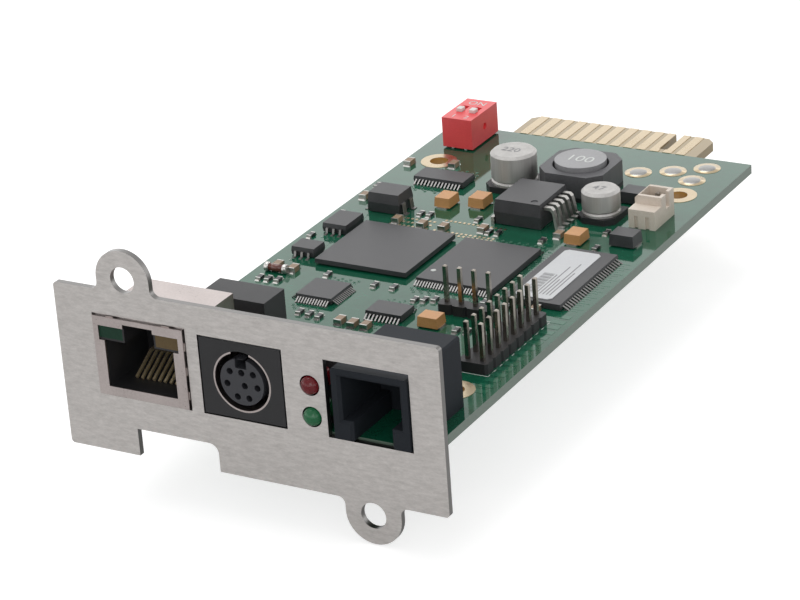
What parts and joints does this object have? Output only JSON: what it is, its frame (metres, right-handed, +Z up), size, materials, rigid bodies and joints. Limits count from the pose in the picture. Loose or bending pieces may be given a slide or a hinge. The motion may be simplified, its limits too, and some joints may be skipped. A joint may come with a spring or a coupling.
{
  "type": "network management card for an uninterruptible power supply",
  "caption": "Slot-in management card: steel faceplate with network, round serial and modular sockets, status lamps, populated green board and gold edge connector.",
  "frame": {"origin": "midway between the two ear holes, on the back face of the faceplate that seats against the equipment", "axes": "+X to the right across the card seen from the front, +Y back along the card to the edge connector, +Z up from the component side of the board"},
  "size_m": [0.066, 0.1265, 0.0406],
  "materials": {
    "brushed_plate": "brushed",
    "plain_steel": "satin",
    "board_green": "gloss",
    "gold": "polished",
    "shield_steel": "satin",
    "black_plastic": "matte",
    "jack_plastic": "satin",
    "green_lamp": "gloss",
    "yellow_lamp": "gloss",
    "red_lens": "gloss",
    "green_lens": "gloss",
    "red_plastic": "gloss",
    "white_plastic": "matte",
    "chip_black": "matte",
    "tinned": "satin",
    "paper": "matte",
    "ferrite": "matte",
    "can_aluminium": "satin",
    "tantalum_yellow": "satin",
    "nylon": "satin",
    "resistor_black": "gloss",
    "capacitor_tan": "matte"
  },
  "bodies": {
    "card": {"faceplate": "brushed_plate", "support_angle": "plain_steel", "circuit_board": "board_green", "edge_contacts": "gold", "copper_lands": "gold", "lan_jack_shield": "shield_steel", "lan_jack_housing": "black_plastic", "lan_jack_contacts": "gold", "lan_jack_green_lamp": "green_lamp", "lan_jack_yellow_lamp": "yellow_lamp", "serial_socket_housing": "black_plastic", "serial_socket_shell": "shield_steel", "serial_socket_core": "black_plastic", "serial_socket_tails": "tinned", "status_lamp_red": "red_lens", "status_lamp_green": "green_lens", "status_lamp_holder": "black_plastic", "status_lamp_leads": "tinned", "modular_jack_housing": "jack_plastic", "modular_jack_contacts": "gold", "supply_module": "black_plastic", "supply_module_pins": "tinned", "selector_switch_body": "red_plastic", "selector_switch_pins": "tinned", "processor": "chip_black", "flash_memory": "chip_black", "flash_memory_leads": "tinned", "working_memory": "chip_black", "working_memory_leads": "tinned", "memory_label": "paper", "network_controller": "chip_black", "network_controller_leads": "tinned", "line_driver": "chip_black", "level_shifter": "chip_black", "optocoupler": "chip_black", "bus_driver": "chip_black", "reset_chip": "chip_black", "small_package_leads": "tinned", "regulator": "chip_black", "regulator_tab_and_leads": "tinned", "inductor_core": "ferrite", "inductor_drum": "ferrite", "inductor_base": "black_plastic", "inductor_terminals": "tinned", "large_capacitor_can": "can_aluminium", "small_capacitor_can": "can_aluminium", "capacitor_bases": "black_plastic", "tantalum_capacitors": "tantalum_yellow", "rectifiers": "chip_black", "chip_terminals": "tinned", "wire_connector": "nylon", "wire_connector_pins": "tinned", "pin_header_block": "black_plastic", "short_header_block": "black_plastic", "header_pins": "tinned", "chip_resistors": "resistor_black", "chip_capacitors": "capacitor_tan"},
    "lever_1": {"selector_switch_lever_1": "white_plastic"},
    "lever_2": {"selector_switch_lever_2": "white_plastic"}
  },
  "joints": [
    {"name": "selector_slide_1", "type": "slide", "parent": "card", "child": "lever_1", "axis": [0, 1, 0], "range_m": [0, 0.0016]},
    {"name": "selector_slide_2", "type": "slide", "parent": "card", "child": "lever_2", "axis": [0, 1, 0], "range_m": [0, 0.0016]}
  ]
}
